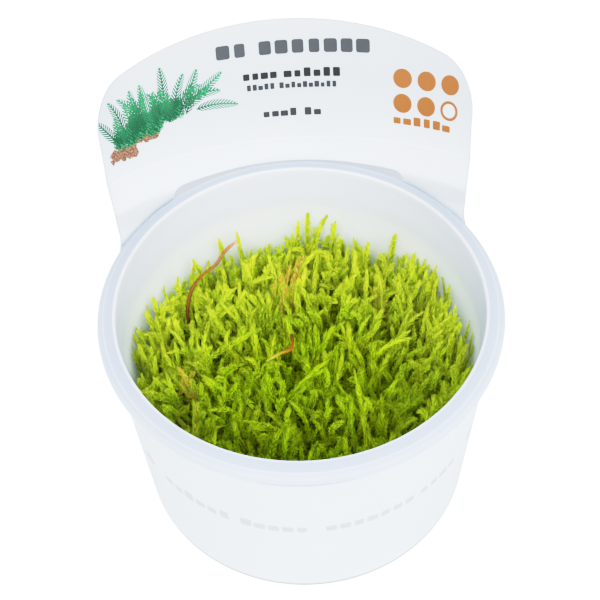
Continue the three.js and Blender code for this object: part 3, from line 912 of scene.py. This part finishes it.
def wallShoots():
    # slim shoots that stand nearly upright and clear of the rest along the wall
    count = moss["wallShoots"]
    turn = np.radians(np.linspace(-118, 118, count) + rng.normal(scale=2.5, size=count))
    away = rng.uniform(32.5, 37.0, count)
    outward = np.c_[np.sin(turn), np.cos(turn)]
    root = outward * away[:, None]
    tip = root + outward * rng.uniform(-0.4, 2.2, count)[:, None] + scatter(1.1, count)
    base = baseUnder(root)
    tall = np.minimum(edgeHeight(root) + rng.uniform(-3.5, 6.5, count), 43.0)
    curve = levelScatter(0.5, count)
    return shootTable(np.c_[root, base], np.c_[tip, tall], curve, rng.uniform(0.88, 1.12, count),
                      rng.uniform(0.3, 0.9, count), np.zeros(count))


def fillShoots():
    # short shoots everywhere between the others
    count = moss["fills"]
    root = sunflower(count, moss["fieldRadius"] + 0.6) + scatter(0.7, count)
    base = baseUnder(root)
    tall = cappedAtWall(base + rng.uniform(3.5, 8.0, count), root)
    lean = scatter(0.28, count) + np.array([0, 0.6 * moss["backLean"]])
    tip = root + lean * (tall - base)[:, None]
    curve = scatter(0.5, count, 3)
    return shootTable(np.c_[root, base], np.c_[tip, tall], curve, rng.uniform(0.8, 1.1, count),
                      rng.random(count), brownedAt(np.c_[tip, tall]))


def sideBranches(parents):
    count = moss["branches"]
    which = rng.integers(0, len(parents["root"]), count)
    share = rng.uniform(0.28, 0.72, count)
    start = pointOn(parents, which, share)
    direction = directionOn(parents, which, share)
    aside = unit(np.cross(direction, unit(scatter(1, count, 3))))
    heading = unit(direction * 0.85 + aside * rng.uniform(0.25, 0.55, count)[:, None])
    length = rng.uniform(4.0, 7.5, count)
    curve = direction * rng.uniform(-0.35, 0.1, count)[:, None]
    return shootTable(start, start + heading * length[:, None], curve, rng.uniform(0.72, 0.95, count),
                      parents["tint"][which], parents["browned"][which])


def leavesOn(table):
    # leaves stand in a spiral, wide open in the middle of the shoot and closed at its tip
    length = np.linalg.norm(table["tip"] - table["root"], axis=1)
    counts = np.maximum((length * 0.86 / moss["leafPitch"]).astype(int), 8)
    which = np.repeat(np.arange(len(counts)), counts)
    step = np.arange(counts.sum()) - np.repeat(np.cumsum(counts) - counts, counts)
    share = moss["leafStart"] + (1 - moss["leafStart"]) * (step + 0.5) / counts[which]
    point, along = pointOn(table, which, share), directionOn(table, which, share)
    thin = unit(np.cross(along, np.cross(table["flat"][which], along)))
    wide = np.cross(along, thin)
    turn = np.radians(table["phase"][which] + step * moss["leafTurn"] + rng.normal(scale=9, size=len(which)))
    outward = unit(wide * np.cos(turn)[:, None] + thin * (moss["flatness"] * np.sin(turn))[:, None])
    closing = np.clip((1 - share) / 0.2, 0, 1) ** 0.7
    opening = np.radians(moss["leafOpening"] * (0.35 + 0.65 * closing) * rng.uniform(0.6, 1.4, len(which)))
    size = table["thickness"][which] * (0.62 + 0.38 * closing) * (0.75 + 0.25 * np.clip(share / 0.3, 0, 1))
    leafLength = moss["leafLength"] * size * rng.uniform(0.85, 1.12, len(which))
    leafWidth = moss["leafWidth"] * size * rng.uniform(0.85, 1.15, len(which))
    axis = along * np.cos(opening)[:, None] + outward * np.sin(opening)[:, None]
    side = unit(np.cross(along, outward))
    inner = np.cross(axis, side)
    foot = point + outward * 0.05

    def spot(forward, sideways, inward):
        return (foot + axis * (leafLength * forward)[:, None] + side * (leafWidth * sideways)[:, None]
                + inner * (leafWidth * inward)[:, None])

    curl = rng.uniform(0.0, 0.35, len(which))
    corners = np.stack([spot(0, 0, 0), spot(0.45, -0.5, -0.05), spot(0.45, 0.5, -0.05), spot(1, 0, curl),
                        spot(0.42, 0, -0.28)], axis=1)
    leafTint = rng.random(len(which))
    return which, share, corners, leafTint


# a leaf's corners are its foot, left, right, tip and keel; its first two faces look inwards
leafFaces = np.array([(0, 3, 2), (0, 1, 3), (0, 2, 4), (4, 2, 3), (0, 4, 1), (4, 3, 1)])
leafInnerMap = {0: (0.25, 0.03), 3: (0.25, 0.97), 2: (0.47, 0.5), 1: (0.03, 0.5)}
leafOuterMap = {0: (0.75, 0.03), 3: (0.75, 0.97), 2: (0.97, 0.5), 1: (0.53, 0.5), 4: (0.75, 0.5)}
leafMap = np.array([[(leafInnerMap if face < 2 else leafOuterMap)[corner] for corner in corners]
                    for face, corners in enumerate(leafFaces)])
stemSides, stemRings = moss["stemSides"], moss["stemRings"]
ringShares = moss["stemEnd"] * np.arange(stemRings) / (stemRings - 1)


def stemsOn(table):
    # a closed three-sided stem for each shoot, with a point at its tip
    count = len(table["root"])
    every = np.arange(count)
    rings = []
    for ringShare in ringShares:
        share = np.full(count, ringShare)
        centre, along = pointOn(table, every, share), directionOn(table, every, share)
        thin = unit(np.cross(along, np.cross(table["flat"], along)))
        wide = np.cross(along, thin)
        radius = (moss["stemRadius"] * table["thickness"] * (1.15 - 0.5 * share))[:, None]
        for turn in np.arange(stemSides) * math.tau / stemSides:
            rings.append(centre + radius * (wide * math.cos(turn) + thin * math.sin(turn)))
    rings.append(table["tip"])
    return np.stack(rings, axis=1)


def stemPattern():
    # the faces of one stem and their places on its square of the bake map
    faces, places = [], []
    for ring in range(stemRings):
        low, high = ring / stemRings, (ring + 1) / stemRings
        for side in range(stemSides):
            a, b = (ring * stemSides + (side + step) % stemSides for step in (0, 1))
            left, right = side / stemSides, (side + 1) / stemSides
            atTip = ring == stemRings - 1
            faces.append((a, b, stemSides * stemRings if atTip else b + stemSides))
            places.append(((left, low), (right, low), (right, high)))
            if not atTip:
                faces.append((a, b + stemSides, a + stemSides))
                places.append(((left, low), (right, high), (left, high)))
    faces.append((2, 1, 0))
    places.append(((0, 0), (0.05, 0.05), (0.05, 0)))
    return np.array(faces), 0.03 + 0.94 * np.array(places)


def keepInCup(points):
    # nothing reaches into the cup's wall
    room = cupInside(points[:, 2]) - moss["wallGap"]
    away = np.hypot(points[:, 0], points[:, 1])
    ease = moss["wallEase"]  # the last stretch before the gap, over which they are drawn in
    soft = room - ease
    over = np.maximum(away - soft, 0)
    kept = np.minimum(away, soft) + ease * (1 - np.exp(-over / ease))
    points[:, :2] *= (kept / np.maximum(away, 1e-6))[:, None]
    return points


def mossPiece(name, table, material):
    which, share, leaves, leafTint = leavesOn(table)
    stems = stemsOn(table)
    stemFaces, stemMap = stemPattern()
    leafCount, stemCount = len(leaves), len(stems)
    points = np.concatenate([leaves.reshape(-1, 3), stems.reshape(-1, 3)])
    leafCorners = (np.arange(leafCount) * 5)[:, None, None] + leafFaces[None]
    stemCorners = leafCount * 5 + (np.arange(stemCount) * stems.shape[1])[:, None, None] + stemFaces[None]
    corners = np.concatenate([leafCorners.reshape(-1, 3), stemCorners.reshape(-1, 3)]).astype(np.int32)
    # one square of the bake map for each leaf and each stem
    across = math.ceil(math.sqrt(leafCount + stemCount))
    cell = np.arange(leafCount + stemCount)
    cellPlace = np.stack([cell % across, cell // across], axis=1)
    leafPlaces = cellPlace[:leafCount, None, None] + leafMap[None]
    stemPlaces = cellPlace[leafCount:, None, None] + stemMap[None]
    bakePlaces = np.concatenate([leafPlaces.reshape(-1, 2), stemPlaces.reshape(-1, 2)]) / across
    # growth holds the share up the shoot, the shoot's tint, the leaf's tint and the browned share
    leafGrowth = np.stack([share, table["tint"][which], leafTint, table["browned"][which]], axis=1)
    stemShare = np.append(np.repeat(ringShares, stemSides), 1.0)
    stemGrowth = np.stack(np.broadcast_arrays(
        0.5 * stemShare[None], table["tint"][:, None], 0.3, table["browned"][:, None]), axis=2)
    growth = np.concatenate([np.repeat(leafGrowth, 5, axis=0), stemGrowth.reshape(-1, 4)])
    # painted highlight: a leaf's left, right and tip corners
    leafHighlight = np.concatenate([np.tile([0.0, 0.8, 0.8, 1.0, 0.0], leafCount), np.zeros(stems.shape[0] * stems.shape[1])])
    mesh = bpy.data.meshes.new(name)
    mesh.vertices.add(len(points))
    mesh.vertices.foreach_set("co", (keepInCup(points) * mm).ravel())
    mesh.loops.add(corners.size)
    mesh.loops.foreach_set("vertex_index", corners.ravel())
    mesh.polygons.add(len(corners))
    mesh.polygons.foreach_set("loop_start", np.arange(0, corners.size, 3))
    mesh.update(calc_edges=True)
    mesh.attributes.new("growth", "FLOAT_COLOR", "POINT").data.foreach_set("color", growth.ravel())
    mesh.attributes.new("leafHighlight", "FLOAT", "POINT").data.foreach_set("value", leafHighlight)
    mesh.uv_layers.new(name="OFBake").data.foreach_set("uv", bakePlaces.ravel())
    mesh.shade_smooth()
    dressPiece(mesh, material, "moss_leaf", "moss")
    print(name, len(corners), "triangles")


def makeMossLeaf():
    material, tree, shader = newMaterial("mossLeaf")
    growth = readAttribute(tree, "growth")
    parts = tree.nodes.new("ShaderNodeSeparateColor")
    feed(tree, parts.inputs[0], growth["Color"])
    share, tint, leafTint = parts.outputs[:3]
    fresh, mellow = (colourSteps(tree, share, moss[kind]) for kind in ("fresh", "mellow"))
    tone = mixColour(tree, remap(tree, tint, 0.3, 0.9), fresh, mellow)
    # painted highlight on the leaves' edges and tips
    leafHighlightShare = calc(tree, "MULTIPLY", readAttribute(tree, "leafHighlight")["Fac"], moss["leafHighlightShare"])
    tone = mixColour(tree, leafHighlightShare, tone, moss["paintedRimTone"])
    # painted light: shoots are painted paler away from one place, most of all at the back
    away = vectorCalc(tree, "DISTANCE", objectPlace(tree), [part * mm for part in moss["paintedLightCentre"]])
    paintedLightShare = remap(tree, away, *(reach * mm for reach in moss["paintedLightReach"]), 0.0, moss["paintedLightShare"])
    paintedLightShare = calc(tree, "MULTIPLY", paintedLightShare, calc(tree, "MULTIPLY_ADD", share, 0.7, 0.3))
    tone = mixColour(tree, paintedLightShare, tone, moss["paintedLightTone"])
    patch = noiseValue(tree, objectPlace(tree), 170.0)
    bright = calc(tree, "ADD", remap(tree, leafTint, 0, 1, 0.84, 1.18, smooth=False),
                  remap(tree, patch, 0.3, 0.7, -0.14, 0.12))
    tone = vectorCalc(tree, "SCALE", tone, scale=bright)
    ochre = mixColour(tree, leafTint, *moss["ochres"])
    ochreShare = remap(tree, leafTint, 0.0, 0.55, 0.35, 1.0)
    tone = mixColour(tree, calc(tree, "MULTIPLY", growth["Alpha"], ochreShare, clamp=True), tone, ochre)
    feedAll(tree, shader, {
        "Base Color": tone, "Roughness": remap(tree, leafTint, 0, 1, 0.36, 0.6, smooth=False),
        "Specular IOR Level": remap(tree, leafTint, 0.78, 0.95, 0.03, 0.4)})  # a few damp leaves glisten
    letThrough(tree, tone, 0.55)
    return material


def makeMossBed(material):
    corners = moss["bedFoot"] + [(radius, 21 if radius > 37 else 25, 0) for radius in moss["bedRings"]] + [(0, 25, 0)]
    bm = spinProfile(corners, 96)
    for vert in bm.verts:
        x, y, z = vert.co / mm
        if z > moss["bedEdge"]:
            lumps = 1.3 * noise.fractal(Vector((x * 0.4, y * 0.4, 3.0)), 1.0, 2.0, 3)
            vert.co.z = (float(bedHeight(x, y)) + lumps) * mm
    shadeSmooth(bm, 180)
    dressPiece(meshFrom(bm, "mossBed"), material, "moss_leaf", "moss")


def makeBedMaterial():
    material, tree, shader = newMaterial("mossBed")
    patch = noiseValue(tree, objectPlace(tree), 900.0, 4.0, 0.75)
    feedAll(tree, shader, {
        "Base Color": colourSteps(tree, patch, moss["bedTones"]), "Roughness": 0.75, "Specular IOR Level": 0.05,
        "Normal": bumpNormal(tree, patch, 1.0, 0.002)})
    return material


def clearOfStems(table):
    # shoots that would hide a stem or the withered tuft from the front are shorter, or left out
    front = unit(np.array([0.04, -0.62, 0.78]))
    fits = np.ones(len(table["root"]), dtype=bool)
    routes = [(np.array(stem["route"][stem["shown"]:]), 1.15) for stem in stems.values()]
    routes.append((np.array([tip for root, tip in moss["withered"]]), 1.3))
    for route, reach in routes:
        spots = np.concatenate([a + (b - a) * np.linspace(0, 1, 5)[:, None] for a, b in zip(route, route[1:])])
        for attempt in range(3):
            hides = np.zeros(len(table["root"]), dtype=bool)
            for share in np.linspace(0.3, 1, 9):
                point = pointOn(table, slice(None), np.full(len(hides), share))
                gap = point[:, None] - spots[None]
                ahead = gap @ front
                aside = np.linalg.norm(gap - ahead[..., None] * front, axis=2)
                hides |= ((aside < reach) & (ahead > -1.0)).any(axis=1)
            if attempt < 2:
                table["tip"][hides] -= (table["tip"][hides] - table["root"][hides]) * 0.3
                table["curve"][hides] *= 0.5
        fits &= ~hides
    return {key: values[fits] for key, values in table.items()}


def makeMoss():
    leafMaterial = makeMossLeaf()
    makeMossBed(makeBedMaterial())
    main = mainShoots()
    tall = tallShoots()
    table = clearOfStems(joinTables(main, tall, wallShoots(), fillShoots(), sideBranches(main)))
    table = joinTables(table, oldShoots())
    turn = np.arctan2(table["root"][:, 1], table["root"][:, 0])
    order = np.argsort(turn, kind="stable")
    for index, chosen in enumerate(np.array_split(order, moss["pieces"])):
        chunk = {key: values[chosen] for key, values in table.items()}
        mossPiece(f"mossShoots_{index + 1}", chunk, leafMaterial)


makeMoss()
print("moss done")


def makeStemBark(name, tones):
    material, tree, shader = newMaterial(name)
    tone = colourSteps(tree, readAttribute(tree, "along")["Fac"], tones)
    grain = noiseValue(tree, objectPlace(tree), 1500.0, 4.0, 0.6)
    tone = mixColour(tree, remap(tree, grain, 0.35, 0.7, 0.0, 0.55), tone, (0.06, 0.025, 0.012))
    feedAll(tree, shader, {"Base Color": tone, "Roughness": 0.6, "Specular IOR Level": 0.05,
                           "Normal": bumpNormal(tree, grain, 0.6, 0.0002)})
    return material


def makeStem(name, stem):
    curve = bpy.data.curves.new(name, "CURVE")
    curve.dimensions = "3D"
    curve.bevel_depth = mm
    curve.bevel_resolution = 3
    curve.resolution_u = 10
    curve.use_fill_caps = True
    spline = curve.splines.new("BEZIER")
    spline.bezier_points.add(len(stem["route"]) - 1)
    for point, place, radius in zip(spline.bezier_points, stem["route"], stem["radii"]):
        point.co = Vector(place) * mm
        point.radius = radius
        point.handle_left_type = point.handle_right_type = "AUTO"
    helper = newObject(name + "Curve", curve)
    graph = bpy.context.evaluated_depsgraph_get()
    bm = bmesh.new()
    bm.from_mesh(helper.evaluated_get(graph).to_mesh())
    bpy.data.objects.remove(helper)
    bmesh.ops.remove_doubles(bm, verts=bm.verts, dist=0.001 * mm)
    bmesh.ops.recalc_face_normals(bm, faces=bm.faces)
    layer = bm.verts.layers.float.new("along")
    route = [Vector(place) for place in stem["route"]]
    for vert in bm.verts:
        place = vert.co / mm
        spans = [(place - a).dot(b - a) / (b - a).length_squared for a, b in zip(route, route[1:])]
        gaps = [(a.lerp(b, min(max(share, 0), 1)) - place).length for share, a, b in zip(spans, route, route[1:])]
        span = gaps.index(min(gaps))
        vert[layer] = (span + min(max(spans[span], 0), 1)) / (len(route) - 1)
    bm.normal_update()
    for vert in bm.verts:
        vert.co += vert.normal * 0.13 * mm * noise.noise(vert.co / mm * 2.3)
    shadeSmooth(bm, 60)
    material = makeStemBark(name + "Bark", stem["tones"])
    dressPiece(meshFrom(bm, name), material, stem["node"], stem["node"])


for stemName, stem in stems.items():
    makeStem(stemName + "Stem", stem)
print("stems done")


# camera, floor and light

view = {"aim": (2.008, 45.976, 0.0), "distance": 329.0, "azimuth": -2.6, "elevation": 51.04, "roll": -2.338,
        "lens": 71.22}
light = {
    "tint": (0.94, 0.97, 1.0), "floorGlow": 1.6, "paper": (0.97, 0.97, 0.97), "shadePaper": (0.52, 0.55, 0.63),
    # the shade on the floor: its middle, its half sizes and the share over which it fades
    "shadePlace": (2, 72), "shadeSize": (48, 64), "shadeFade": (0.74, 1.06),
    "horizon": 1.8, "zenith": 1.0,
    # name, place in metres, side in metres and power
    "boxes": [("keyBox", (-0.15, -0.62, 0.78), 0.7, 14.0), ("fillBox", (0.5, -0.6, 0.5), 0.6, 7.0)],
    "boxAim": (0, 0, 0.04),
    # how scene brightness shows in the picture: even in the dark, rounded off towards white
    "toneCurve": [(0.0, 0.0), (0.3, 0.3), (0.55, 0.53), (0.9, 0.72), (1.3, 0.82), (1.9, 0.90),
                  (2.6, 0.96), (3.4, 1.0)],
    "toneTop": 4.0,
}


def makeCamera():
    camera = newObject("camera", bpy.data.cameras.new("camera"))
    camera.data.lens = view["lens"]
    camera.data.sensor_width = 36
    camera.data.clip_start = 0.01
    azimuth, elevation = math.radians(view["azimuth"]), math.radians(view["elevation"])
    back = Vector((math.sin(azimuth) * math.cos(elevation), -math.cos(azimuth) * math.cos(elevation),
                   math.sin(elevation)))
    place = (Vector(view["aim"]) + back * view["distance"]) * mm
    facing = (-back).to_track_quat("-Z", "Y").to_matrix().to_4x4()
    camera.matrix_world = Matrix.Translation(place) @ facing @ Matrix.Rotation(math.radians(view["roll"]), 4, "Z")
    bpy.context.scene.camera = camera


def makeFloor():
    bm = bmesh.new()
    bmesh.ops.create_grid(bm, x_segments=2, y_segments=2, size=3.0)
    mesh = meshFrom(bm, "floor")
    floor = newObject("floor", mesh)
    floor.location.z = -0.05 * mm
    material, tree, shader = newMaterial("floorPaper")
    # a soft shade lies on the paper from the cup's foot to behind the header
    squares = []
    for output, middle, half in zip(splitPlace(tree, objectPlace(tree)), light["shadePlace"], light["shadeSize"]):
        away = calc(tree, "DIVIDE", calc(tree, "SUBTRACT", output, middle * mm), half * mm)
        squares.append(calc(tree, "MULTIPLY", away, away))
    rounded = calc(tree, "SQRT", hypotenuse(tree, *squares))
    clear = remap(tree, rounded, *light["shadeFade"])
    feedAll(tree, shader, {
        "Base Color": mixColour(tree, clear, light["shadePaper"], light["paper"]), "Roughness": 0.9,
        "Specular IOR Level": 0.1, "Emission Color": (1, 1, 1),
        "Emission Strength": calc(tree, "MULTIPLY", clear, light["floorGlow"])})
    mesh.materials.append(material)


def makeSoftbox(name, place, side, power):
    data = bpy.data.lights.new(name, "AREA")
    data.shape = "RECTANGLE"
    data.size = data.size_y = side
    data.energy = power
    data.color = light["tint"]
    lamp = newObject(name, data)
    lamp.location = place
    lamp.rotation_euler = (Vector(light["boxAim"]) - Vector(place)).to_track_quat("-Z", "Y").to_euler()


def makeWorld():
    world = bpy.data.worlds.new("studio")
    world.use_nodes = True
    tree = world.node_tree
    upward = splitPlace(tree, tree.nodes.new("ShaderNodeTexCoord").outputs["Generated"])[2]
    background = tree.nodes["Background"].inputs
    feed(tree, background["Color"], light["tint"])
    feed(tree, background["Strength"], remap(tree, upward, 0.1, 0.9, light["horizon"], light["zenith"]))
    bpy.context.scene.world = world


def makeToneCurve():
    settings = bpy.context.scene.view_settings
    settings.view_transform = "Standard"
    settings.use_curve_mapping = True
    mapping = settings.curve_mapping
    mapping.white_level = (light["toneTop"],) * 3
    curve = mapping.curves[3]
    for level, shown in light["toneCurve"][1:-1]:
        curve.points.new(level / light["toneTop"], shown)
    curve.points[0].location = (0, 0)
    curve.points[-1].location = (light["toneCurve"][-1][0] / light["toneTop"], 1)
    mapping.update()


def makeLight():
    makeWorld()
    for box in light["boxes"]:
        makeSoftbox(*box)
    makeToneCurve()


makeCamera()
makeFloor()
makeLight()
print("camera, floor and light done")
